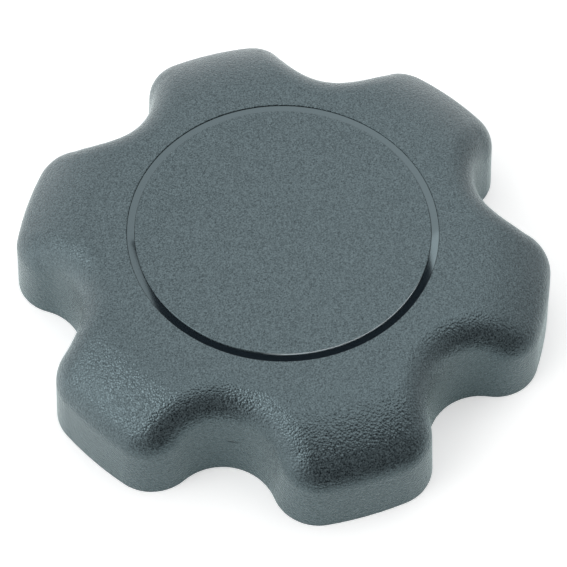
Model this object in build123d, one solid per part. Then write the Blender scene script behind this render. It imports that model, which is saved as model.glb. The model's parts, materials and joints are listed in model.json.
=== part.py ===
"""Screw-on fuel filler cap with a slipping grip and a pressure and vacuum valve.

A lobed grip shell turns on a threaded closure cup. Spring pawls on the closure click over teeth
in the shell once the cap is tight, and drive the closure when the shell is turned to open it.
The valve set sits in the closure's roof, under the centre disc.

Millimetres, +Z up. The origin is the centre of the circle that the shell's rim stands on.
"""

import os
from math import cos, radians, sin, sqrt

from build123d import *

# ---------------------------------------------------------------- driving dimensions

# Running gaps and fits
running_gap = 0.3
seat_gap = 0.05

# Thread bore and closure cup
thread_bore_radius = 30.5
thread_bore_depth = 8.0
thread_mouth_chamfer = 0.7
skirt_wall = 2.3
skirt_foot = 1.2
flange_reach = 1.2
roof_thickness = 2.0

# Gasket that the neck's lip presses on
gasket_thickness = 2.0
gasket_width = 5.8
gasket_bead_radius = 0.5
gasket_step = 0.4
gasket_fence_wall = 1.4

# Grip shell
lobe_count = 6
lobe_reach = 10.35
lobe_arc_radius = 62.0
corner_radius = 8.0
scallop_radius = 9.5
scallop_wall = 2.6
shell_wall = 2.4
draft_angle = 4.2
edge_radius = 6.3
inner_edge_radius = 3.4
crown_start_radius = 31.2
crown_arc_radius = 21.2
drum_wall = 1.7
drum_foot = 2.0
rib_thickness = 1.4
rib_spread = 7.0
ribs_per_lobe = 3
rib_foot = 4.0

# Retaining ring and glide ring
groove_depth = 0.7
groove_height = 1.0
retaining_ring_height = 0.9
retaining_ring_gap_angle = 14
glide_ring_height = 0.6
glide_ring_width = 1.9

# Ratchet
tooth_count = 36
tooth_depth = 1.2
tooth_height = 2.2
tooth_land_angle = 0.6
pawl_count = 6
pawl_height = 1.7
pawl_clearance = 0.12
pawl_ring_width = 2.6
arm_gap = 3.2
arm_width = 1.5
arm_sweep_angle = 44
key_reach = 1.4
key_angle = 16
washer_thickness = 0.4

# Centre disc and polished ring
disc_radius = 25.7
disc_thickness = 1.9
disc_edge_radius = 0.2
ring_width = 1.35
ring_step = 0.25
ledge_thickness = 1.6
recess_wall = 1.8
clip_count = 6
clip_angle = 14
clip_thickness = 1.4
clip_hook = 0.7
clip_hook_height = 0.65

# Valve housing
housing_radius = 15.0
housing_wall = 1.8
housing_setback = 0.2
flange_width = 5.2
flange_thickness = 1.4
port_gap = 1.8
lip_height = 0.4
lip_width = 0.8
lip_setback = 1.0
o_ring_section = 1.2
screw_count = 4
screw_radius = 1.2
screw_length = 5.0
screw_head_radius = 2.1
screw_head_height = 1.3
screw_slot_width = 0.6
screw_slot_depth = 0.5
boss_wall = 1.3
lid_thickness = 0.8
lid_spigot = 1.0
lid_spigot_wall = 0.9
lid_hole_radius = 1.1
lid_hole_count = 6
lid_hole_circle = 6.6
filter_radius = 10.6
filter_thickness = 0.8
filter_rim_wall = 0.9

# Pressure valve
seal_thickness = 0.8
seal_hole_radius = 5.4
plate_thickness = 1.0
plate_collar_wall = 1.0
air_hole_radius = 0.7
air_hole_count = 4
pressure_wire = 0.6
pressure_turns = 2.0
pressure_spring_radius = 10.4
pressure_lift = 0.8

# Vacuum valve
mushroom_overlap = 1.2
mushroom_thickness = 0.9
vacuum_drop = 0.6
stem_radius = 1.2
stem_groove_depth = 0.35
vacuum_spring_length = 1.4
vacuum_wire = 0.22
vacuum_turns = 2.25
vacuum_spring_radius = 2.0
spring_clip_thickness = 0.4
spring_clip_radius = 2.9
spring_clip_slot = 1.4
stem_end = 0.4

# ---------------------------------------------------------------- levels, from the rim up

gasket_z = skirt_foot + thread_bore_depth
roof_z = gasket_z + gasket_thickness
roof_top = roof_z + roof_thickness
pawl_top = roof_top + pawl_height

# The valve stack, from the housing's floor to the filter. The disc lies just above it.
housing_z = gasket_z + housing_setback
housing_floor_top = housing_z + mushroom_thickness + vacuum_drop + 2 * seat_gap - lip_height
lip_top = housing_floor_top + lip_height
seal_top = lip_top + seal_thickness
plate_top = seal_top + plate_thickness
clip_z = plate_top + vacuum_spring_length
clip_top = clip_z + spring_clip_thickness
housing_top = clip_top + pressure_lift + 4 * seat_gap
lid_top = housing_top + lid_thickness
filter_top = lid_top + filter_thickness

seat_z = filter_top + running_gap
ledge_z = seat_z - ledge_thickness
top_z = seat_z + disc_thickness
ceiling_z = top_z - shell_wall

# ---------------------------------------------------------------- radii, from the valve out

housing_bore = housing_radius - housing_wall
housing_flange_radius = housing_radius + flange_width
screw_circle = housing_radius + flange_width / 2
mushroom_radius = seal_hole_radius + mushroom_overlap
port_radius = mushroom_radius + port_gap
plate_radius = housing_bore - running_gap

recess_radius = disc_radius + ring_width
clip_inner_radius = housing_flange_radius + 2 * running_gap
clip_outer_radius = clip_inner_radius + clip_thickness
hook_radius = clip_outer_radius + clip_hook
washer_bore = hook_radius + 2 * running_gap
opening_radius = clip_outer_radius + running_gap

# The flange reaches over the skirt, and leaves room for the ratchet round the disc's hooks.
pawl_room = pawl_ring_width + arm_gap + arm_width + tooth_depth
ratchet_room = pawl_room + glide_ring_width + 2 * (running_gap + seat_gap)
gasket_radius = thread_bore_radius - gasket_step - seat_gap
skirt_radius = thread_bore_radius + skirt_wall
flange_radius = max(skirt_radius + flange_reach, hook_radius + ratchet_room)
drum_bore = flange_radius + running_gap
drum_radius = drum_bore + drum_wall
groove_radius = drum_bore + groove_depth
scallop_floor_radius = groove_radius + scallop_wall
lobe_tip_radius = scallop_floor_radius + lobe_reach

glide_inner_radius = flange_radius - glide_ring_width
teeth_outer_radius = glide_inner_radius - seat_gap
tooth_root_radius = teeth_outer_radius - running_gap
tooth_tip_radius = tooth_root_radius - tooth_depth
pawl_ring_radius = tooth_tip_radius - arm_gap - arm_width
pawl_ring_bore = pawl_ring_radius - pawl_ring_width

half_step = 180 / lobe_count


# ---------------------------------------------------------------- helpers


def polar(radius, angle):
    """Point in the XY plane at a radius and an angle in degrees."""
    return Vector(radius * cos(radians(angle)), radius * sin(radians(angle)))


def ring(outer, inner, low, high):
    """Flat ring, or a round plate if inner is 0, between two heights."""
    section = Circle(outer)
    if inner > 0:
        section -= Circle(inner)
    return Pos(0, 0, low) * extrude(section, high - low)


def around(shape, count, start=0.0):
    """Copies of a shape, evenly turned about Z."""
    return [Rot(0, 0, start + 360 * k / count) * shape for k in range(count)]


def sector(outer, inner, angle, low, high):
    """Piece of a flat ring, centred on +X."""
    reach = outer * 2
    wedge = make_face(Polyline((0, 0), polar(reach, -angle / 2), polar(reach, angle / 2), (0, 0)))
    wall = Circle(outer) - Circle(inner)
    return Pos(0, 0, low) * extrude(wall & wedge, high - low)


def turned(*points):
    """Ring turned about Z from its section, given as (radius, height) points."""
    section = make_face(Polyline(*points, points[0]))
    return revolve(Plane.XZ * section, Axis.Z)


def coil(mean_radius, wire, low, high, turns):
    """Coil spring that stands between two heights."""
    rise = high - low - wire - 2 * seat_gap
    path = Helix(pitch=rise / turns, height=rise, radius=mean_radius)
    path = Pos(0, 0, low + seat_gap + wire / 2) * path
    section = Plane(origin=path @ 0, z_dir=path % 0) * Circle(wire / 2)
    return sweep(section, path=path)


# ---------------------------------------------------------------- grip shell


def lobe_outline(inset):
    """The shell's outline at the rim, moved inwards by inset: scallop, corner and lobe arcs."""
    scallop_centre = Vector(scallop_floor_radius + scallop_radius, 0)
    lobe_centre = polar(lobe_tip_radius - lobe_arc_radius, half_step)
    # A corner's arc touches the lobe's arc from inside and the scallop's arc from outside.
    apart = scallop_centre - lobe_centre
    to_lobe = lobe_arc_radius - corner_radius
    to_scallop = scallop_radius + corner_radius
    along = (to_lobe**2 - to_scallop**2 + apart.length**2) / (2 * apart.length)
    aside = sqrt(to_lobe**2 - along**2)
    unit = apart.normalized()
    corner_centre = lobe_centre + unit * along + Vector(-unit.Y, unit.X) * aside

    from_scallop = (corner_centre - scallop_centre).normalized()
    from_lobe = (corner_centre - lobe_centre).normalized()
    outwards = (from_lobe - from_scallop).normalized()
    corner_start = scallop_centre + from_scallop * (scallop_radius + inset)
    corner_middle = corner_centre + outwards * (corner_radius - inset)
    corner_end = lobe_centre + from_lobe * (lobe_arc_radius - inset)

    def across(point):
        """The point's mirror image over the lobe's axis."""
        return Vector(point.X, -point.Y).rotate(Axis.Z, 2 * half_step)

    scallop_start = Vector(corner_start.X, -corner_start.Y)
    scallop_middle = scallop_centre - Vector(scallop_radius + inset, 0)
    scallop_arc = ThreePointArc(scallop_start, scallop_middle, corner_start)
    corner_arc = ThreePointArc(corner_start, corner_middle, corner_end)
    lobe_arc = ThreePointArc(corner_end, polar(lobe_tip_radius - inset, half_step), across(corner_end))
    far_corner_arc = ThreePointArc(across(corner_end), across(corner_middle), across(corner_start))

    arcs = [scallop_arc, corner_arc, lobe_arc, far_corner_arc]
    return Face(Wire([arc.rotate(Axis.Z, 2 * half_step * k) for k in range(lobe_count) for arc in arcs]))


def crown(top):
    """Space under the shell's top surface: flat in the middle, curving down over the lobes."""
    reach = lobe_tip_radius + shell_wall - crown_start_radius
    steepest = 0.95 * crown_arc_radius
    reach = min(reach, steepest)

    def surface(run):
        return (crown_start_radius + run, top - crown_arc_radius + sqrt(crown_arc_radius**2 - run**2))

    curve = ThreePointArc(surface(0), surface(reach / 2), surface(reach))
    edge_radius_out = surface(reach)[0]
    sides = Polyline(surface(reach), (edge_radius_out, 0), (0, 0), (0, top), surface(0))
    return revolve(Plane.XZ * make_face([*curve.edges(), *sides.edges()]), Axis.Z)


def lobed_body(inset, top, rolled_edge):
    """Drafted lobed block under a crowned top, with its top edge rolled over."""
    block = extrude(lobe_outline(inset), amount=top + shell_wall, taper=draft_angle)
    block = block & crown(top)
    high_edges = [e for e in block.edges() if e.bounding_box().min.Z > 0.4 * top]
    top_edges = [e for e in high_edges if e.length < crown_start_radius]
    smallest_corner = corner_radius - inset - top * sin(radians(draft_angle))
    return fillet(top_edges, min(rolled_edge, 0.97 * smallest_corner))


def tooth_space(low, high):
    """Space between two ratchet teeth: a steep flank at angle 0, then a ramp back to the tips."""
    pitch = 360 / tooth_count
    inside = tooth_tip_radius - tooth_depth
    ramp_end = polar(tooth_tip_radius, pitch - tooth_land_angle)
    ramp_start = polar(tooth_root_radius, tooth_land_angle)
    outline = Polyline(
        polar(inside, 0),
        polar(tooth_root_radius, 0),
        ramp_start,
        ramp_end,
        polar(inside, pitch - tooth_land_angle),
        polar(inside, 0),
    )
    return Pos(0, 0, low) * extrude(make_face(outline), high - low)


def make_grip_shell():
    """Hollow lobed shell with a drum for the closure, ratchet teeth and a seat for the disc."""
    hollow = lobed_body(shell_wall, ceiling_z, inner_edge_radius)

    # The drum is the wall that the closure turns in. Ribs tie it to the lobes.
    drum = ring(drum_radius, drum_bore, drum_foot, top_z)
    reach = lobe_tip_radius - drum_bore
    rib_centre = drum_bore + seat_gap + reach / 2
    rib_height = top_z - rib_foot
    rib = Pos(rib_centre, 0, rib_foot + rib_height / 2) * Box(reach, rib_thickness, rib_height)
    middle = (ribs_per_lobe - 1) / 2
    ribs = []
    for k in range(ribs_per_lobe):
        ribs += around(Pos(0, (k - middle) * rib_spread, 0) * rib, lobe_count, half_step)

    # The shoulder above the closure's flange carries the ratchet teeth.
    shoulder_z = roof_top + glide_ring_height + 2 * seat_gap
    teeth_foot = roof_top + running_gap / 2
    shoulder = ring(drum_radius, teeth_outer_radius, shoulder_z, top_z)
    teeth = ring(teeth_outer_radius, tooth_tip_radius, teeth_foot, top_z)
    spaces = around(tooth_space(teeth_foot, teeth_foot + tooth_height), tooth_count)

    # The recess takes the disc and the polished ring, which stand on the ledge.
    ledge = ring(recess_radius + recess_wall, opening_radius, ledge_z, top_z)

    inside = hollow - [drum, shoulder, teeth, ledge, *ribs]
    shell = lobed_body(0, top_z, edge_radius) - inside
    shell -= ring(recess_radius, 0, seat_z, top_z + shell_wall)
    shell -= ring(opening_radius, 0, ledge_z - shell_wall, seat_z)
    shell -= spaces
    groove_z = roof_z - seat_gap - groove_height
    shell -= ring(groove_radius, drum_bore - seat_gap, groove_z, groove_z + groove_height)
    mouth = [e for e in shell.edges().filter_by(GeomType.CIRCLE) if abs(e.center().Z - top_z) < 1e-3]
    mouth = [e for e in mouth if abs(e.radius - recess_radius) < 1e-3]
    return fillet(mouth, disc_edge_radius)


def make_retaining_ring():
    """Spring ring in the drum's groove, under the closure's flange."""
    low = roof_z - seat_gap - groove_height / 2 - retaining_ring_height / 2
    high = low + retaining_ring_height
    whole = ring(groove_radius - seat_gap, skirt_radius + running_gap, low, high)
    return whole - sector(groove_radius, skirt_radius, retaining_ring_gap_angle, low, high)


# ---------------------------------------------------------------- centre disc


def make_centre_disc():
    """Flat disc with snap clips that hook under the shell's ledge."""
    plate = ring(disc_radius, 0, seat_z, top_z)
    rim = plate.edges().filter_by(GeomType.CIRCLE).sort_by(Axis.Z)[-1]
    plate = fillet(rim, disc_edge_radius)
    hook_top = ledge_z - seat_gap
    hook_foot = hook_top - clip_hook_height
    leg = sector(clip_outer_radius, clip_inner_radius, clip_angle, hook_foot, seat_z + seat_gap)
    hook = sector(hook_radius, clip_inner_radius, clip_angle, hook_foot, hook_top)
    return plate + around(leg + hook, clip_count)


def make_trim_ring():
    """Polished ring that lies on the ledge round the disc, a step lower."""
    top = top_z - ring_step
    return ring(recess_radius - seat_gap, disc_radius + seat_gap, seat_z, top)


# ---------------------------------------------------------------- closure


def make_closure_cup():
    """Threaded skirt, flanged roof, gasket fence, screw bosses and keys for the pawl ring."""
    skirt = ring(skirt_radius, thread_bore_radius, skirt_foot, gasket_z)
    skirt += ring(skirt_radius, gasket_radius + seat_gap, gasket_z, roof_z)
    mouth = thread_bore_radius + thread_mouth_chamfer
    skirt -= turned(
        (thread_bore_radius - 1, skirt_foot),
        (mouth, skirt_foot),
        (thread_bore_radius, skirt_foot + thread_mouth_chamfer),
        (thread_bore_radius - 1, skirt_foot + thread_mouth_chamfer),
    )
    roof = ring(flange_radius, 0, roof_z, roof_top)
    fence_outer = gasket_radius - gasket_width - seat_gap
    fence = ring(fence_outer, fence_outer - gasket_fence_wall, gasket_z + seat_gap, roof_z)
    boss = Pos(screw_circle, 0, 0) * ring(screw_radius + boss_wall, 0, gasket_z + seat_gap, roof_z)
    bosses = around(boss, screw_count, half_step)
    key_top = pawl_top - running_gap
    key = sector(pawl_ring_bore + key_reach, clip_inner_radius, key_angle - 1, roof_top, key_top)
    keys = around(key, pawl_count)

    cup = skirt + roof + fence + bosses + keys
    cup -= ring(housing_radius + seat_gap, 0, gasket_z, roof_top)
    gland_outer = housing_radius + seat_gap + o_ring_section + 2 * seat_gap
    cup -= ring(gland_outer, 0, roof_top - o_ring_section - 2 * seat_gap, roof_top)
    pilot_floor = roof_top - (screw_length - flange_thickness) - seat_gap
    pilot = Pos(screw_circle, 0, 0) * ring(screw_radius + seat_gap, 0, pilot_floor, roof_top)
    return cup - around(pilot, screw_count, half_step)


def make_glide_ring():
    """Slippery flat ring between the closure's flange and the shell's shoulder."""
    return ring(flange_radius - seat_gap, glide_inner_radius, roof_top, roof_top + glide_ring_height)


def make_neck_gasket():
    """Flat rubber ring with a round bead that meets the neck's lip."""
    face_z = gasket_z + seat_gap + gasket_bead_radius
    body = ring(gasket_radius, gasket_radius - gasket_width, face_z, roof_z)
    bead_section = Pos(gasket_radius - gasket_width / 2, face_z) * Circle(gasket_bead_radius)
    return body + revolve(Plane.XZ * bead_section, Axis.Z)


def make_pawl_ring():
    """Ring with springy arms. Each arm ends in a pawl that stands in a tooth space."""
    flat = Circle(pawl_ring_radius) - Circle(pawl_ring_bore)
    pitch = 360 / tooth_count
    tip = tooth_root_radius - pawl_clearance
    back = tooth_tip_radius - pawl_clearance
    arm_end = back - arm_width
    half_sweep = arm_sweep_angle / 2
    steep = pawl_clearance
    middle = pawl_ring_radius + arm_gap / 2
    # Outer side from the pawl's ramp to the ring, then back along the inner side to the pawl.
    outer_middle = polar(middle + arm_width, half_sweep + pitch / 2)
    inner_middle = polar(middle, half_sweep - pitch / 2)
    ramp_end = polar(back, pitch - tooth_land_angle - 2 * pawl_clearance)
    root_outer = polar(pawl_ring_radius - seat_gap, arm_sweep_angle + pitch / 2)
    root_inner = polar(pawl_ring_radius - seat_gap, arm_sweep_angle - pitch / 2)
    outline = [
        Line(polar(arm_end, steep), polar(tip, steep)),
        Line(polar(tip, steep), polar(tip, tooth_land_angle)),
        Line(polar(tip, tooth_land_angle), ramp_end),
        ThreePointArc(ramp_end, outer_middle, root_outer),
        Line(root_outer, root_inner),
        ThreePointArc(root_inner, inner_middle, polar(arm_end, steep)),
    ]
    arm = make_face([edge for line in outline for edge in line.edges()])
    notch_outer = pawl_ring_bore + key_reach + seat_gap
    notch = sector(notch_outer, pawl_ring_bore - key_reach, key_angle, 0, pawl_height)
    body = extrude(flat, pawl_height) + around(extrude(arm, pawl_height), pawl_count)
    return Pos(0, 0, roof_top) * (body - around(notch, pawl_count))


def make_cone_washer():
    """Spring washer, coned, that holds the pawl ring down against the turning shell."""
    outer = pawl_ring_radius
    inner = washer_bore
    low = pawl_top + seat_gap / 2
    high = ledge_z - seat_gap - washer_thickness
    lower, upper = low + washer_thickness, high + washer_thickness
    return turned((outer, low), (outer, lower), (inner, upper), (inner, high))


# ---------------------------------------------------------------- valve housing


def make_valve_housing():
    """Cup that hangs in the closure's roof, with a port and a raised seat in its floor."""
    wall = ring(housing_radius, housing_bore, housing_z, housing_top)
    floor = ring(housing_radius, port_radius, housing_z, housing_floor_top)
    lip_inner = port_radius + lip_setback
    lip = ring(lip_inner + lip_width, lip_inner, housing_floor_top, lip_top)
    flange = ring(housing_flange_radius, housing_bore, roof_top, roof_top + flange_thickness)
    hole = Pos(screw_circle, 0, 0) * ring(screw_radius + seat_gap, 0, roof_top, roof_top + flange_thickness)
    return wall + floor + lip + flange - around(hole, screw_count, half_step)


def make_housing_o_ring():
    """O-ring in the roof's groove, under the housing's flange."""
    centre_radius = housing_radius + 2 * seat_gap + o_ring_section / 2
    centre_z = roof_top - seat_gap - o_ring_section / 2
    return revolve(Plane.XZ * Pos(centre_radius, centre_z) * Circle(o_ring_section / 2), Axis.Z)


def make_housing_screws():
    """Four pan-head screws that hold the housing's flange to the roof."""
    head_z = roof_top + flange_thickness
    head = ring(screw_head_radius, 0, head_z, head_z + screw_head_height)
    shank = ring(screw_radius, 0, head_z - screw_length, head_z)
    slot_z = head_z + screw_head_height - screw_slot_depth / 2
    slot = Pos(0, 0, slot_z) * Box(2 * screw_head_radius, screw_slot_width, screw_slot_depth)
    screw = head + shank - slot
    return Compound(children=around(Pos(screw_circle, 0, 0) * screw, screw_count, half_step))


def make_valve_lid():
    """Vented lid on the housing. The pressure spring pushes against its underside."""
    plate = ring(housing_radius, 0, housing_top, lid_top)
    spigot_outer = housing_bore - seat_gap
    spigot = ring(spigot_outer, spigot_outer - lid_spigot_wall, housing_top - lid_spigot, housing_top)
    rim_inner = filter_radius + seat_gap
    rim = ring(rim_inner + filter_rim_wall, rim_inner, lid_top, lid_top + filter_thickness)
    hole = Pos(lid_hole_circle, 0, 0) * ring(lid_hole_radius, 0, housing_top, lid_top)
    stem_hole = ring(stem_radius + running_gap, 0, housing_top, lid_top)
    return plate + spigot + rim - around(hole, lid_hole_count) - stem_hole


def make_dust_filter():
    """Foam disc over the lid's vent holes."""
    return ring(filter_radius, 0, lid_top, lid_top + filter_thickness)


# ---------------------------------------------------------------- valves


def make_valve_seal():
    """Flat rubber ring: the pressure valve's seat outside, the vacuum valve's seat inside."""
    return ring(plate_radius - plate_collar_wall - seat_gap, seal_hole_radius, lip_top, seal_top)


def make_pressure_plate():
    """Plate that carries the seal, with a collar round it and air holes round the stem."""
    plate = ring(plate_radius, stem_radius + 2 * seat_gap, seal_top, plate_top)
    collar = ring(plate_radius, plate_radius - plate_collar_wall, lip_top + 2 * seat_gap, seal_top)
    air_circle = (seal_hole_radius + stem_radius) / 2 + air_hole_radius / 2
    hole = Pos(air_circle, 0, 0) * ring(air_hole_radius, 0, seal_top, plate_top)
    return plate + collar - around(hole, air_hole_count)


def make_pressure_spring():
    """Coil that holds the pressure valve shut."""
    return coil(pressure_spring_radius, pressure_wire, plate_top, housing_top, pressure_turns)


def make_vacuum_valve():
    """Mushroom valve that shuts the seal's hole from below."""
    head = ring(mushroom_radius, 0, lip_top - mushroom_thickness, lip_top)
    stem = ring(stem_radius, 0, lip_top, clip_top + stem_end)
    groove = ring(spring_clip_radius, stem_radius - stem_groove_depth, clip_z, clip_top)
    return head + stem - groove


def make_vacuum_spring():
    """Light coil between the pressure plate and the stem's clip."""
    return coil(vacuum_spring_radius, vacuum_wire, plate_top, clip_z, vacuum_turns)


def make_spring_clip():
    """Slotted clip in the stem's groove that carries the vacuum spring."""
    clip = ring(spring_clip_radius, stem_radius - stem_groove_depth + seat_gap, clip_z, clip_top)
    slot = Box(spring_clip_radius, spring_clip_slot, spring_clip_thickness)
    slot = Pos(spring_clip_radius / 2, 0, (clip_z + clip_top) / 2) * slot
    return clip - slot


# ---------------------------------------------------------------- export

parts = {
    "grip_shell": make_grip_shell,
    "centre_disc": make_centre_disc,
    "trim_ring": make_trim_ring,
    "retaining_ring": make_retaining_ring,
    "closure_cup": make_closure_cup,
    "glide_ring": make_glide_ring,
    "neck_gasket": make_neck_gasket,
    "pawl_ring": make_pawl_ring,
    "cone_washer": make_cone_washer,
    "valve_housing": make_valve_housing,
    "housing_o_ring": make_housing_o_ring,
    "housing_screws": make_housing_screws,
    "valve_lid": make_valve_lid,
    "dust_filter": make_dust_filter,
    "valve_seal": make_valve_seal,
    "pressure_plate": make_pressure_plate,
    "pressure_spring": make_pressure_spring,
    "vacuum_valve": make_vacuum_valve,
    "vacuum_spring": make_vacuum_spring,
    "spring_clip": make_spring_clip,
}

os.makedirs("parts", exist_ok=True)
for name, make in parts.items():
    export_step(make(), f"parts/{name}.step")
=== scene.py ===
# %% [markdown]
# # Dressing a screw-on filler cap
# The cap is already built to size: a lobed grip shell with a disc let into its top, and under it
# a threaded closure cup with a ratchet and a small valve set. Those pieces are loaded as they are.
# This notebook gives every piece the surface it left the mould or the press with, adds the thread
# that the neck screws into, and lights the cap as a small product on a white table.

import json
import math

import bmesh
import bpy
from mathutils import Euler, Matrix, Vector

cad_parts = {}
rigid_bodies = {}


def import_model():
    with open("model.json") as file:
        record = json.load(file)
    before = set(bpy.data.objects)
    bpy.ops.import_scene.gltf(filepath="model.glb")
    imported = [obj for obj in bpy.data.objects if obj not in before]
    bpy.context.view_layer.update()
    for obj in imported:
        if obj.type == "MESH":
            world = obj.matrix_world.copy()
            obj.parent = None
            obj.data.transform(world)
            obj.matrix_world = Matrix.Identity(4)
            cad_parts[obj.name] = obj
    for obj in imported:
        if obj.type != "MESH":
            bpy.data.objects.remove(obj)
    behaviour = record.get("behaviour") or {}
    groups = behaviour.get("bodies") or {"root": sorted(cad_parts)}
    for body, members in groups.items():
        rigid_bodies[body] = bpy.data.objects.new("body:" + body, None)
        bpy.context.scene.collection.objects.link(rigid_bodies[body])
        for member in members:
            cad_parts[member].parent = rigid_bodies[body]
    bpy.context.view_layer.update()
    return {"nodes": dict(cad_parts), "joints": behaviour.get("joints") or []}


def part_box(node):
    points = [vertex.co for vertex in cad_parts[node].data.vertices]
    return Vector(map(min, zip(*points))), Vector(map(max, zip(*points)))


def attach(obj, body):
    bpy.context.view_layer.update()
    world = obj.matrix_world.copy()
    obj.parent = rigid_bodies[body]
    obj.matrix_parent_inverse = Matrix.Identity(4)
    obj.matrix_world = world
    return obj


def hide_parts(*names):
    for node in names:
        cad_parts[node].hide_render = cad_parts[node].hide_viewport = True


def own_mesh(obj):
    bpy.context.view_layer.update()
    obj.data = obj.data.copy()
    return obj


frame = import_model()
nodes = frame["nodes"]
scene = bpy.context.scene

# %% [markdown]
# Blender counts in metres and the cap is designed in millimetres, so one constant turns every
# size below into metres. The disc is measured as it was loaded, so that its finish follows it
# when the cap changes.

# %% Sizes
MM = 0.001


def outer_radius(name):
    """Largest distance of a round node from the cap's axis."""
    low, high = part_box(name)
    return max(high.x, -low.x)


disc_radius = outer_radius("centre_disc")
print("disc radius", round(disc_radius / MM, 2), "mm")

# %% [markdown]
# The camera looks down on the cap from the front and a little from the left, from a good third
# of a metre away. A long lens keeps the far lobes nearly as large as the near ones. The camera is
# set by where it aims, how far back it stands, its two angles in degrees and a slight roll,
# which is easier to change than a bare position and rotation.

# %% Camera
VIEW_AIM = Vector((-2.33, -7.76, 14.05)) * MM
VIEW_DISTANCE = 341.6 * MM
VIEW_AZIMUTH = -18.01
VIEW_ELEVATION = 56.53
VIEW_ROLL = 0.60
FOCAL_LENGTH = 125.3
NEAREST_SEEN = 10 * MM

azimuth = math.radians(VIEW_AZIMUTH)
elevation = math.radians(VIEW_ELEVATION)
backwards = Vector((
    math.sin(azimuth) * math.cos(elevation),
    -math.cos(azimuth) * math.cos(elevation),
    math.sin(elevation),
))
lens = bpy.data.cameras.new("lens")
lens.lens = FOCAL_LENGTH
lens.clip_start = NEAREST_SEEN
camera = bpy.data.objects.new("camera", lens)
scene.collection.objects.link(camera)
camera.rotation_mode = "QUATERNION"
roll = Euler((0, 0, math.radians(VIEW_ROLL))).to_quaternion()
camera.rotation_quaternion = (-backwards).to_track_quat("-Z", "Y") @ roll
camera.location = VIEW_AIM + backwards * VIEW_DISTANCE
scene.camera = camera
print("camera at", [round(c / MM, 1) for c in camera.location], "mm")

# %% [markdown]
# Colours are written as the hex values a colour picker shows. The shader wants linear light, so
# one function undoes the sRGB curve. A second function adds a node, sets its values and joins
# its inputs, so that each material below reads as a list of what it is made of.

# %% Helpers for materials
def linear(hex_colour):
    """Linear RGBA of an sRGB hex colour such as #383f43."""
    channels = [int(hex_colour[k:k + 2], 16) / 255 for k in (1, 3, 5)]
    # The sRGB curve has a straight foot, and is a power of 2.4 above it.
    foot_end = 0.04045
    curve = [c / 12.92 if c <= foot_end else ((c + 0.055) / 1.055) ** 2.4 for c in channels]
    return (*curve, 1.0)


def add_node(material, kind, inputs=None, **settings):
    """Adds a node. Settings are its properties; inputs are values, or (node, output) pairs."""
    tree = material.node_tree
    node = tree.nodes.new(kind)
    for name, value in settings.items():
        setattr(node, name, value)
    for name, value in (inputs or {}).items():
        if isinstance(value, tuple) and isinstance(value[0], bpy.types.Node):
            tree.links.new(value[0].outputs[value[1]], node.inputs[name])
        else:
            node.inputs[name].default_value = value
    return node


# The Mix node lists its sockets by number: these are the ones that carry colours.
MIX_FACTOR, MIX_A, MIX_B, MIX_RESULT = 0, 6, 7, 2


def join(material, node, output, other, socket):
    """Joins a node's output to another node's socket."""
    material.node_tree.links.new(node.outputs[output], other.inputs[socket])


def new_material(name, colour, roughness, **sockets):
    """A material with one Principled shader. Returns the material and its shader."""
    material = bpy.data.materials.new(name)
    material.use_nodes = True
    shader = material.node_tree.nodes["Principled BSDF"]
    shader.inputs["Base Color"].default_value = linear(colour)
    shader.inputs["Roughness"].default_value = roughness
    for socket, value in sockets.items():
        shader.inputs[socket.replace("_", " ")].default_value = value
    return material, shader


def wear(name, material):
    """Gives a node of the cap its finish."""
    mesh = nodes[name].data
    mesh.materials.clear()
    mesh.materials.append(material)
    print(name, "is", material.name)


# %% [markdown]
# A noise texture gives numbers round a half, and seldom any below 0.3 or above 0.7. A Map Range
# node stretches that range to the values that a finish needs. Other masks need to know where a
# point lies about the cap's axis: two helpers measure how far out it is, and in which direction.

# %% Noise range and measures from the axis
NOISE_LOW, NOISE_HIGH = 0.3, 0.7


def axis_distance(material, place):
    """Adds the distance of a point from the cap's axis, as the node's Value."""
    flat = add_node(
        material, "ShaderNodeVectorMath", {0: (place, "Object"), 1: (1, 1, 0)}, operation="MULTIPLY"
    )
    return add_node(material, "ShaderNodeVectorMath", {0: (flat, "Vector")}, operation="LENGTH")


def axis_direction(material, place):
    """Adds the direction of a point from the cap's axis, in radians, as the node's Value."""
    parts = add_node(material, "ShaderNodeSeparateXYZ", {"Vector": (place, "Object")})
    return add_node(
        material, "ShaderNodeMath", {0: (parts, "Y"), 1: (parts, "X")}, operation="ARCTAN2"
    )


# %% [markdown]
# The grip is moulded in dark grey nylon, in a mould whose walls were spark eroded. The sparks
# leave small round pits, so the plastic comes out with fine pebbles that are themselves quite
# shiny. That is why the finish is made of a low roughness under a bump, and not of a high
# roughness: each pebble mirrors the lights, and the flanks glitter where light meets dark.
# The pebbles are a little under half a millimetre wide, which is coarse for spark erosion. A
# finer pale and dark speckle is painted into the colour: the pale specks are painted glints.

# %% Spark-eroded nylon
GRAIN_WIDTH = 0.40 * MM
FINE_GRAIN_WIDTH = 0.36 * MM
GRAIN_HEIGHT = 0.09 * MM
FINE_GRAIN_HEIGHT = 0.065 * MM
SPECKLE_WIDTH = 0.26 * MM
# The plastic's dark colour, and a pale colour for the specks that are painted glints.
DARK_SPECK = "#1b2226"
PALE_GLINT_SPECK = "#5b676b"
COOL_SHEEN = (0.70, 0.93, 1.0, 1.0)
PEBBLE_ROUGHNESS = 0.10
ROUGHNESS_DRIFT = 0.03
DRIFT_WIDTH = 9 * MM


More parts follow.
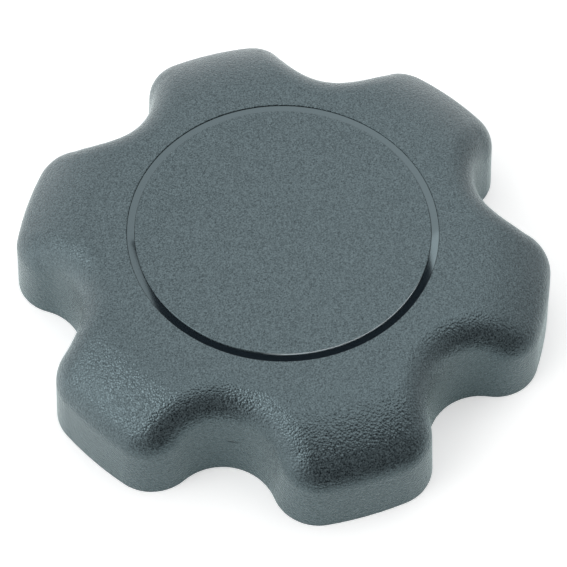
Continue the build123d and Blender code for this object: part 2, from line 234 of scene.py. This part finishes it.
def eroded_nylon(name, grain_width, grain_height):
    """Dark moulded plastic with pebbles of the given width and height, and painted glints."""
    material, shader = new_material(
        name, PALE_GLINT_SPECK, PEBBLE_ROUGHNESS,
        IOR=1.6, Specular_IOR_Level=0.78, Specular_Tint=COOL_SHEEN,
    )
    place = add_node(material, "ShaderNodeTexCoord")
    pebbles = add_node(
        material, "ShaderNodeTexVoronoi",
        {"Vector": (place, "Object"), "Scale": 1 / grain_width}, feature="F1",
    )
    grain = add_node(
        material, "ShaderNodeBump",
        {"Height": (pebbles, "Distance"), "Distance": grain_height, "Strength": 1.0},
        name="grain", invert=True,
    )
    join(material, grain, "Normal", shader, "Normal")
    # The speckle mixes the dark plastic with pale specks, which are painted glints.
    speckle = add_node(
        material, "ShaderNodeTexNoise",
        {"Vector": (place, "Object"), "Scale": 1 / SPECKLE_WIDTH, "Detail": 1.0},
    )
    tone = add_node(
        material, "ShaderNodeMapRange",
        {"Value": (speckle, "Fac"), "From Min": NOISE_LOW, "From Max": NOISE_HIGH},
    )
    plastic = add_node(
        material, "ShaderNodeMix",
        {MIX_FACTOR: (tone, "Result"), MIX_A: linear(DARK_SPECK), MIX_B: linear(PALE_GLINT_SPECK)},
        name="plastic", data_type="RGBA",
    )
    join(material, plastic, MIX_RESULT, shader, "Base Color")
    drift = add_node(
        material, "ShaderNodeTexNoise",
        {"Vector": (place, "Object"), "Scale": 1 / DRIFT_WIDTH, "Detail": 3.0},
    )
    spread = add_node(
        material, "ShaderNodeMapRange",
        {"Value": (drift, "Fac"), "From Min": NOISE_LOW, "From Max": NOISE_HIGH,
         "To Min": PEBBLE_ROUGHNESS - ROUGHNESS_DRIFT,
         "To Max": PEBBLE_ROUGHNESS + ROUGHNESS_DRIFT},
        name="spread",
    )
    join(material, spread, "Result", shader, "Roughness")
    return material


# %% [markdown]
# One of the scallops carries a short scratch. A Mapping node squeezes space until the
# scratch is a ball of radius 1 about its own middle. The distance from there is then a mask,
# which darkens the plastic and presses it in. The mask is full in the ball's core and fades
# out towards its skin.

# %% Scratch in a scallop
SCRATCH_START = Vector((-19.94, -31.35, 8.28)) * MM
SCRATCH_END = Vector((-17.68, -32.58, 8.14)) * MM
SCRATCH_WIDTH = 0.26 * MM
SCRATCH_DEPTH = 0.12 * MM
SCRATCH_CORE = 0.3
SCRATCH_COLOUR = "#161b1e"


def scratch(material):
    """Adds the scratch to a grained material."""
    tree = material.node_tree
    shader, grain, plastic = (tree.nodes[name] for name in ("Principled BSDF", "grain", "plastic"))
    run = SCRATCH_END - SCRATCH_START
    place = add_node(material, "ShaderNodeTexCoord")
    local = add_node(
        material, "ShaderNodeMapping",
        {"Vector": (place, "Object"), "Location": (SCRATCH_START + SCRATCH_END) / 2,
         "Rotation": run.to_track_quat("X", "Z").to_euler(),
         "Scale": (run.length / 2, SCRATCH_WIDTH, SCRATCH_WIDTH)},
        vector_type="TEXTURE",
    )
    distance = add_node(
        material, "ShaderNodeVectorMath", {0: (local, "Vector")}, operation="LENGTH"
    )
    mask = add_node(
        material, "ShaderNodeMapRange",
        {"Value": (distance, "Value"), "From Min": SCRATCH_CORE, "From Max": 1.0,
         "To Min": 1.0, "To Max": 0.0},
    )
    groove = add_node(
        material, "ShaderNodeBump",
        {"Height": (mask, "Result"), "Distance": SCRATCH_DEPTH, "Normal": (grain, "Normal")},
        invert=True,
    )
    join(material, groove, "Normal", shader, "Normal")
    marked = add_node(
        material, "ShaderNodeMix",
        {MIX_FACTOR: (mask, "Result"), MIX_A: (plastic, MIX_RESULT), MIX_B: linear(SCRATCH_COLOUR)},
        data_type="RGBA",
    )
    join(material, marked, MIX_RESULT, shader, "Base Color")
    return material


# %% [markdown]
# The disc's outermost edge lay in the mould's parting line, where there was no erosion, so it is
# smooth. The mask is the distance from the axis, in the plane of the disc. It takes the bump
# away over the last quarter of a millimetre, and evens out the roughness there.

# %% Smooth rim of the disc
RIM_WIDTH = 0.25 * MM
RIM_FADE = 0.2 * RIM_WIDTH
RIM_ROUGHNESS = 0.08


def smooth_rim(material, radius):
    """Takes the grain off the outermost edge of a disc of the given radius."""
    tree = material.node_tree
    shader, grain, spread = (tree.nodes[name] for name in ("Principled BSDF", "grain", "spread"))
    distance = axis_distance(material, add_node(material, "ShaderNodeTexCoord"))
    inside = add_node(
        material, "ShaderNodeMapRange",
        {"Value": (distance, "Value"), "From Min": radius - RIM_WIDTH,
         "From Max": radius - RIM_WIDTH + RIM_FADE, "To Min": 1.0, "To Max": 0.0},
    )
    join(material, inside, "Result", grain, "Strength")
    # On numbers, the Mix node's inputs are the factor 0 and the ends 2 and 3.
    roughness = add_node(
        material, "ShaderNodeMix",
        {0: (inside, "Result"), 2: RIM_ROUGHNESS, 3: (spread, "Result")}, data_type="FLOAT",
    )
    join(material, roughness, 0, shader, "Roughness")
    return material


# %% [markdown]
# Along a quarter of the way round, on the near side, a fine pale line is painted on the very
# edge of the disc: a painted highlight, where a light would be mirrored along the edge. Its mask
# is a thinner one, cut off by the direction from the axis: the line has a middle, reaches a
# certain angle to each side of it, and fades out at both ends.

# %% Painted highlight on the edge of the disc
HIGHLIGHT_LINE_WIDTH = 0.08 * MM
HIGHLIGHT_LINE_MIDDLE = math.radians(-77.5)
HIGHLIGHT_LINE_REACH = math.radians(38.5)
HIGHLIGHT_LINE_FADE = math.radians(10.0)
PAINTED_HIGHLIGHT_COLOUR = "#eefaff"


def paint_edge_highlight(material, radius):
    """Paints a pale highlight line along part of the edge of a disc of the given radius."""
    tree = material.node_tree
    shader, plastic = tree.nodes["Principled BSDF"], tree.nodes["plastic"]
    place = add_node(material, "ShaderNodeTexCoord")
    off_middle = add_node(
        material, "ShaderNodeMath",
        {0: (axis_direction(material, place), "Value"), 1: HIGHLIGHT_LINE_MIDDLE}, operation="SUBTRACT",
    )
    away = add_node(material, "ShaderNodeMath", {0: (off_middle, "Value")}, operation="ABSOLUTE")
    along = add_node(
        material, "ShaderNodeMapRange",
        {"Value": (away, "Value"), "From Min": HIGHLIGHT_LINE_REACH - HIGHLIGHT_LINE_FADE,
         "From Max": HIGHLIGHT_LINE_REACH, "To Min": 1.0, "To Max": 0.0},
    )
    at_edge = add_node(
        material, "ShaderNodeMath",
        {0: (axis_distance(material, place), "Value"), 1: radius - HIGHLIGHT_LINE_WIDTH},
        operation="GREATER_THAN",
    )
    line = add_node(
        material, "ShaderNodeMath", {0: (along, "Result"), 1: (at_edge, "Value")},
        operation="MULTIPLY",
    )
    # The pale line is a painted highlight, put into the colour.
    highlighted = add_node(
        material, "ShaderNodeMix",
        {MIX_FACTOR: (line, "Value"), MIX_A: (plastic, MIX_RESULT), MIX_B: linear(PAINTED_HIGHLIGHT_COLOUR)},
        data_type="RGBA",
    )
    join(material, highlighted, MIX_RESULT, shader, "Base Color")
    return material


# %% [markdown]
# The shell and the disc come from two moulds, so each has its own grain: the disc's is a little
# finer and flatter. The scratch is only in the shell, and the smooth rim only on the disc.

# %% Finish of the grip and the disc
coarse_nylon = eroded_nylon("spark_eroded_nylon", GRAIN_WIDTH, GRAIN_HEIGHT)
fine_nylon = eroded_nylon("fine_eroded_nylon", FINE_GRAIN_WIDTH, FINE_GRAIN_HEIGHT)
wear("grip_shell", scratch(coarse_nylon))
# The disc's edge gets a painted highlight along part of its way round.
wear("centre_disc", paint_edge_highlight(smooth_rim(fine_nylon, disc_radius), disc_radius))

# %% [markdown]
# The ring round the disc came out of a polished part of the mould. It mirrors the studio in one
# sheet: grey where it sees a lit wall, and black where it sees the dark gap over it.

# %% Polished ring
RING_SHEEN = (0.73, 0.93, 0.99, 1.0)

polished = new_material(
    "polished_abs", "#1b2329", 0.03, IOR=1.9, Specular_IOR_Level=0.92, Specular_Tint=RING_SHEEN
)[0]
wear("trim_ring", polished)

# %% [markdown]
# Under the grip nothing is textured. The closure is plain black nylon from a smooth mould, the
# valve parts are pale acetal, the seals are matt rubber, and the springs and screws are steel.
# A faint noise in the roughness and the relief keeps these plain finishes from looking like flat
# paint. Each has patches of its own width: long flow marks in the mouldings, fine rolling marks
# on the steel.

# %% Plain finishes under the grip
PATCH_DRIFT = 0.2
PATCH_SLOPE = 0.01


def plain_finish(name, colour, roughness, patch, **sockets):
    """A smooth finish whose roughness drifts a little over patches of the given width."""
    material, shader = new_material(name, colour, roughness, **sockets)
    place = add_node(material, "ShaderNodeTexCoord")
    drift = add_node(
        material, "ShaderNodeTexNoise",
        {"Vector": (place, "Object"), "Scale": 1 / patch, "Detail": 2.0},
    )
    spread = add_node(
        material, "ShaderNodeMapRange",
        {"Value": (drift, "Fac"), "From Min": NOISE_LOW, "From Max": NOISE_HIGH,
         "To Min": roughness * (1 - PATCH_DRIFT), "To Max": roughness * (1 + PATCH_DRIFT)},
    )
    join(material, spread, "Result", shader, "Roughness")
    relief = add_node(
        material, "ShaderNodeBump",
        {"Height": (drift, "Fac"), "Distance": patch * PATCH_SLOPE, "Strength": 1.0},
    )
    join(material, relief, "Normal", shader, "Normal")
    return material


# Moulded against smooth steel: near black, with soft wide highlights.
black_nylon = plain_finish("smooth_black_nylon", "#22272a", 0.38, 4 * MM, IOR=1.53)
# Moulded against polished steel and left undyed: milky white with a waxy gloss.
pale_acetal = plain_finish("natural_acetal", "#e3e2da", 0.3, 3 * MM, IOR=1.48)
# The same plastic dyed grey, a little duller as it slides and wears.
grey_acetal = plain_finish("grey_acetal", "#8d9598", 0.32, 3 * MM, IOR=1.48)
# Pressed and cured in a mould: almost black, with broad dull highlights.
seal_rubber = plain_finish("nitrile_rubber", "#23262a", 0.62, 1.5 * MM, IOR=1.52)
# Drawn or rolled, then hardened: a bright grey metal that mirrors the tent with a slight haze.
spring_steel = plain_finish("hardened_spring_steel", "#a9acb0", 0.24, 0.8 * MM, Metallic=1.0)
# Plated with zinc in a bath: paler than the springs, with a frosty silver sheen.
zinc_steel = plain_finish("zinc_plated_steel", "#c3c7c9", 0.3, 0.8 * MM, Metallic=1.0)
# Foamed with open cells that swallow light: dark grey with no highlight.
filter_foam = plain_finish("open_cell_foam", "#3a3b3c", 0.95, 0.4 * MM, IOR=1.5)

# %% Which piece wears which finish
finishes = {
    "closure_cup": black_nylon,
    "valve_housing": black_nylon,
    "valve_lid": black_nylon,
    "retaining_ring": spring_steel,
    "cone_washer": spring_steel,
    "pressure_spring": spring_steel,
    "vacuum_spring": spring_steel,
    "spring_clip": spring_steel,
    "housing_screws": zinc_steel,
    "glide_ring": pale_acetal,
    "pawl_ring": pale_acetal,
    "pressure_plate": grey_acetal,
    "vacuum_valve": grey_acetal,
    "neck_gasket": seal_rubber,
    "housing_o_ring": seal_rubber,
    "valve_seal": seal_rubber,
    "dust_filter": filter_foam,
}
for name, material in finishes.items():
    wear(name, material)

# %% [markdown]
# A coil spring can't be a stiff piece where a valve moves, because it shortens as the valve
# opens. Each spring's own mesh is copied and welded, and the copy takes the spring's place on
# the joint's parent body. The cap's record says which springs these are, which joint works them
# and where their fixed end is.

# %% Welded coils in the springs' places
WELD = 0.001 * MM


def live_spring(node, joint):
    """Puts a welded coil in the place of a stiff spring node, on the body the joint hangs from."""
    name = node.replace("spring", "coil")
    coil = bmesh.new()
    coil.from_mesh(nodes[node].data)
    bmesh.ops.remove_doubles(coil, verts=coil.verts, dist=WELD)
    mesh = bpy.data.meshes.new(name)
    coil.to_mesh(mesh)
    coil.free()
    mesh.materials.append(spring_steel)
    mesh.shade_smooth()
    spring = bpy.data.objects.new(name, mesh)
    scene.collection.objects.link(spring)
    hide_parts(node)
    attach(spring, joint["parent"])
    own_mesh(spring)


for joint in frame["joints"]:
    for deforming in joint["deforming_nodes"]:
        if deforming["mode"] == "scale_z":
            live_spring(deforming["node"], joint)

# %% [markdown]
# The filler neck screws into the closure. Its thread is a ridge that winds up the inside of
# the bore. A screw thread is one section spun about the axis while it climbs, which is exactly
# what the spin operator does when it is given a rise for each step. A real thread runs out to
# nothing at both ends, so that the neck finds its way in: there the points are drawn back
# towards the wall, to a twentieth of the ridge's height, so that no face shrinks to a line.

# %% Thread ridge in the closure's bore
THREAD_PITCH = 4.0 * MM
THREAD_DEPTH = 1.4 * MM
THREAD_FOOT = 2.4 * MM
THREAD_CREST = 0.9 * MM
THREAD_TURNS = 1.15
THREAD_RUN_OUT = 0.08
THREAD_END_HEIGHT = 0.05
THREAD_STEPS = 150
THREAD_CLEARANCE = 0.8 * MM
BORE_RADIUS = 30.5 * MM
WALL_SINK = 0.3 * MM


def thread_ridge(foot):
    """The ridge as one closed solid that starts a little above the foot of the bore."""
    mesh = bmesh.new()
    middle = foot + THREAD_CLEARANCE + THREAD_FOOT / 2
    wall = BORE_RADIUS + WALL_SINK
    section = [
        (wall, -THREAD_FOOT / 2),
        (BORE_RADIUS - THREAD_DEPTH, -THREAD_CREST / 2),
        (BORE_RADIUS - THREAD_DEPTH, THREAD_CREST / 2),
        (wall, THREAD_FOOT / 2),
    ]
    start = [mesh.verts.new((radius, 0, middle + rise)) for radius, rise in section]
    face = mesh.faces.new(start)
    bmesh.ops.spin(
        mesh, geom=[face, *face.edges, *face.verts], axis=(0, 0, 1), cent=(0, 0, 0),
        dvec=(0, 0, THREAD_PITCH * THREAD_TURNS / THREAD_STEPS),
        angle=math.tau * THREAD_TURNS, steps=THREAD_STEPS, use_duplicate=False,
    )
    mesh.verts.index_update()
    for point in mesh.verts:
        along = (point.index // len(section)) / THREAD_STEPS
        height = min(1.0, max(THREAD_END_HEIGHT, min(along, 1 - along) / THREAD_RUN_OUT))
        radius = math.hypot(point.co.x, point.co.y)
        drawn_back = (wall + (radius - wall) * height) / radius
        point.co.x *= drawn_back
        point.co.y *= drawn_back
    # The spin makes the points and faces of a step in no fixed order. Sorted step by step, and
    # upwards within each, they make the same mesh each time.
    mesh.verts.sort(key=lambda point: point.index // len(section) * THREAD_PITCH + point.co.z)
    mesh.verts.index_update()
    mesh.faces.sort(key=lambda face: sum(point.index ** 2 for point in face.verts))
    bmesh.ops.recalc_face_normals(mesh, faces=mesh.faces)
    return mesh


ridge_bm = thread_ridge(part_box("closure_cup")[0].z)
ridge_mesh = bpy.data.meshes.new("thread_ridge")
open_edges = sum(not edge.is_manifold for edge in ridge_bm.edges)
ridge_bm.to_mesh(ridge_mesh)
ridge_bm.free()
ridge_mesh.materials.append(black_nylon)
ridge = bpy.data.objects.new("thread_ridge", ridge_mesh)
scene.collection.objects.link(ridge)
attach(ridge, "closure")
heights = [point.co.z / MM for point in ridge_mesh.vertices]
print("thread from", round(min(heights), 2), "to", round(max(heights), 2), "mm with",
      open_edges, "open edges")

# %% [markdown]
# The table is a plain pale sheet of matt paper, large enough to fill the view, and it keeps the
# cap's soft shadow. Paper under a cap is never as bright as the tent above it. A Light Path node
# lets it glow a little where the camera sees it, which brings it up to white, and less, with a
# cool tint, where the cap mirrors it. Neither glow lights the cap.

# %% Table
TABLE_SIZE = 6.0
TABLE_GLOW_SEEN = 0.4
TABLE_GLOW_MIRRORED = 0.255
MIRRORED_TINT = "#d8ffff"


def stage_piece(name, mesh, material):
    """Makes an object of the studio, which isn't part of the cap."""
    data = bpy.data.meshes.new(name)
    mesh.to_mesh(data)
    mesh.free()
    data.materials.append(material)
    piece = bpy.data.objects.new(name, data)
    scene.collection.objects.link(piece)
    return piece


def table_paper():
    """Matt white paper that glows for the camera and in mirrors, and throws no extra light."""
    material, shader = new_material("matt_table_paper", "#f3f4f4", 0.9)
    path = add_node(material, "ShaderNodeLightPath")
    mirrored = add_node(
        material, "ShaderNodeMath",
        {0: (path, "Is Glossy Ray"), 1: (path, "Is Transmission Ray")}, operation="MAXIMUM",
    )
    in_mirrors = add_node(
        material, "ShaderNodeMath", {0: (mirrored, "Value"), 1: TABLE_GLOW_MIRRORED},
        operation="MULTIPLY",
    )
    glow = add_node(
        material, "ShaderNodeMath",
        {0: (path, "Is Camera Ray"), 1: TABLE_GLOW_SEEN, 2: (in_mirrors, "Value")},
        operation="MULTIPLY_ADD",
    )
    join(material, glow, "Value", shader, "Emission Strength")
    tint = add_node(
        material, "ShaderNodeMix",
        {MIX_FACTOR: (path, "Is Camera Ray"), MIX_A: linear(MIRRORED_TINT), MIX_B: (1, 1, 1, 1)},
        data_type="RGBA",
    )
    join(material, tint, MIX_RESULT, shader, "Emission Color")
    return material


table_bm = bmesh.new()
bmesh.ops.create_grid(table_bm, x_segments=1, y_segments=1, size=TABLE_SIZE / 2)
table = stage_piece("table", table_bm, table_paper())

# %% [markdown]
# A shiny dark object shows its surroundings more than its own colour, so lighting it means
# placing what it mirrors. An even white world stands for a light tent all round.

# %% Tent
TENT_BRIGHTNESS = 1.0

world = bpy.data.worlds.new("light_tent")
world.use_nodes = True
tent = world.node_tree.nodes["Background"]
tent.inputs["Color"].default_value = (1.0, 1.0, 1.0, 1.0)
tent.inputs["Strength"].default_value = TENT_BRIGHTNESS
scene.world = world

# %% [markdown]
# A cloth screen hangs round the cap inside the tent. It is black at the front, as the unlit room
# is beyond the tent's opening, and pale elsewhere, and its reflection draws the dark bands under
# the near edges of the lobes. A ramp over the direction it hangs in sets how pale it is. The
# screen is hidden from the camera alone, so any view has a white background.

# %% Screen
SCREEN_RADIUS = 0.9
SCREEN_TOP = math.radians(62.0)
SCREEN_STEPS = 72
# Pairs of a direction in degrees, anticlockwise from the right, and the brightness there.
SCREEN_SHADES = [
    (-180, 1.8), (-150, 0.98), (-120, 0.0), (-90, 0.0), (-60, 0.0), (-30, 0.40),
    (0, 0.69), (30, 0.72), (60, 1.12), (90, 0.90), (120, 1.07), (150, 1.0), (180, 1.8),
]


def swept_cloth(points):
    """Sweeps a profile of points once round the cap."""
    mesh = bmesh.new()
    corners = [mesh.verts.new(point) for point in points]
    sides = [mesh.edges.new(pair) for pair in zip(corners, corners[1:])]
    bmesh.ops.spin(
        mesh, geom=[*sides, *corners], axis=(0, 0, 1), cent=(0, 0, 0),
        angle=math.tau, steps=SCREEN_STEPS, use_merge=True,
    )
    return mesh


def graduated_cloth(name):
    """Cloth whose brightness changes with the direction it hangs in."""
    material = bpy.data.materials.new(name)
    material.use_nodes = True
    material.node_tree.nodes.clear()
    place = add_node(material, "ShaderNodeTexCoord", name="place")
    along = add_node(
        material, "ShaderNodeMapRange",
        {"Value": (axis_direction(material, place), "Value"),
         "From Min": -math.pi, "From Max": math.pi},
    )
    shade = add_node(material, "ShaderNodeValToRGB", {"Fac": (along, "Result")})
    stops = shade.color_ramp.elements
    for direction, _ in SCREEN_SHADES[1:-1]:
        stops.new((direction + 180) / 360)
    for stop, (_, brightness) in zip(stops, SCREEN_SHADES):
        stop.color = (brightness, brightness, brightness, 1.0)
    glow = add_node(material, "ShaderNodeEmission", {"Color": (shade, "Color")}, name="glow")
    add_node(material, "ShaderNodeOutputMaterial", {"Surface": (glow, "Emission")}, name="out")
    return material


screen_foot = Vector((SCREEN_RADIUS, 0, 0))
screen_head = Vector((SCREEN_RADIUS, 0, SCREEN_RADIUS * math.tan(SCREEN_TOP)))
screen_mesh = swept_cloth([screen_foot, screen_head])
screen = stage_piece("screen", screen_mesh, graduated_cloth("graduated_screen_cloth"))
screen.visible_camera = False
print("screen", round(screen_head.z, 2), "m high")

# %% [markdown]
# The same cloth runs on over the table towards the cap, as a runner that only mirror reflections
# see. Near the cap it fades out, so the walls of the lobes mirror the white table at their foot
# and the dark runner further up, with a soft change between the two.

# %% Runner on the table
RUNNER_START = 48.5 * MM
RUNNER_FULL = 100 * MM
RUNNER_LIFT = 1 * MM


def fade_near_the_cap(material):
    """Makes a graduated cloth clear at RUNNER_START and solid from RUNNER_FULL outwards."""
    parts = material.node_tree.nodes
    cover = add_node(
        material, "ShaderNodeMapRange",
        {"Value": (axis_distance(material, parts["place"]), "Value"),
         "From Min": RUNNER_START, "From Max": RUNNER_FULL},
    )
    clear = add_node(material, "ShaderNodeBsdfTransparent")
    faded = add_node(
        material, "ShaderNodeMixShader",
        {0: (cover, "Result"), 1: (clear, "BSDF"), 2: (parts["glow"], "Emission")},
    )
    join(material, faded, "Shader", parts["out"], "Surface")
    return material


runner_mesh = swept_cloth([(RUNNER_START, 0, RUNNER_LIFT), (SCREEN_RADIUS, 0, RUNNER_LIFT)])
runner_cloth = fade_near_the_cap(graduated_cloth("graduated_runner_cloth"))
runner = stage_piece("runner", runner_mesh, runner_cloth)
runner.visible_camera = False
runner.visible_diffuse = False
runner.visible_shadow = False

# %% [markdown]
# The polished ring mirrors one small patch of the tent, so a small black flag is enough to turn
# its near side black. A flat mirror shows what a second eye would see from under it, at the
# camera's place turned upside down. Sight lines from that eye through the ring's near half, run
# on up towards the roof of the tent, say where the flag hangs and which shape it has.

# %% Black flag over the ring
# The flag is this many times as far from the eye as the ring is.
FLAG_REACH = 4.2
# Where the sight lines cross the ring's plane: millimetres to the right and towards the viewer.
FLAG_CORNERS = [(-26.2, 3.0), (25.0, 3.0), (28.6, 34.0), (-15.4, 34.0)]

ring_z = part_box("trim_ring")[1].z
under_eye = Vector((camera.location.x, camera.location.y, 2 * ring_z - camera.location.z))
nearwards = Vector((backwards.x, backwards.y, 0)).normalized()
rightwards = Vector((-nearwards.y, nearwards.x, 0))
flag_bm = bmesh.new()
flag_points = []
for across, near in FLAG_CORNERS:
    on_ring = (rightwards * across + nearwards * near) * MM + Vector((0, 0, ring_z))
    flag_points.append(flag_bm.verts.new(under_eye + (on_ring - under_eye) * FLAG_REACH))
flag_bm.faces.new(flag_points)
black_flock = bpy.data.materials.new("black_flock")
black_flock.use_nodes = True
black_flock.node_tree.nodes.clear()
dark = add_node(black_flock, "ShaderNodeEmission", {"Strength": 0.0})
add_node(black_flock, "ShaderNodeOutputMaterial", {"Surface": (dark, "Emission")})
flag = stage_piece("black_flag", flag_bm, black_flock)
flag.visible_camera = False

# %% [markdown]
# One large soft box stands on the left and makes the bright side of the lobes. A wide weak one
# hangs overhead. Each is placed by the direction it stands in and by how wide it looks from the
# cap, because that is what a mirror shows of it.

# %% Soft boxes
SOFT_BOX_DISTANCE = 1.1


def soft_box(name, azimuth_deg, elevation_deg, radius_deg, brightness):
    """A round area light that faces the cap and looks as bright as written from where it is."""
    light = bpy.data.lights.new(name, "AREA")
    light.shape = "DISK"
    radius = SOFT_BOX_DISTANCE * math.tan(math.radians(radius_deg))
    light.size = 2 * radius
    # A matt glowing disc sends out its brightness times its area times pi.
    light.energy = brightness * math.pi * radius ** 2 * math.pi
    box = bpy.data.objects.new(name, light)
    around, up = math.radians(azimuth_deg), math.radians(elevation_deg)
    towards = Vector((
        math.cos(around) * math.cos(up), math.sin(around) * math.cos(up), math.sin(up)
    ))
    box.location = towards * SOFT_BOX_DISTANCE
    box.rotation_mode = "QUATERNION"
    box.rotation_quaternion = (-towards).to_track_quat("-Z", "Y")
    box.visible_camera = False
    scene.collection.objects.link(box)
    print(name, "is", round(light.size, 2), "m wide and gives", round(light.energy, 1), "W")


soft_box("left_soft_box", azimuth_deg=192.4, elevation_deg=23.1, radius_deg=31.8, brightness=2.34)
soft_box("overhead_soft_box", azimuth_deg=5.3, elevation_deg=65.7, radius_deg=28.8, brightness=0.51)

# %% [markdown]
# The Standard view shows each colour as it is lit, with no film curve laid over it.

# %% Colour view
scene.view_settings.view_transform = "Standard"
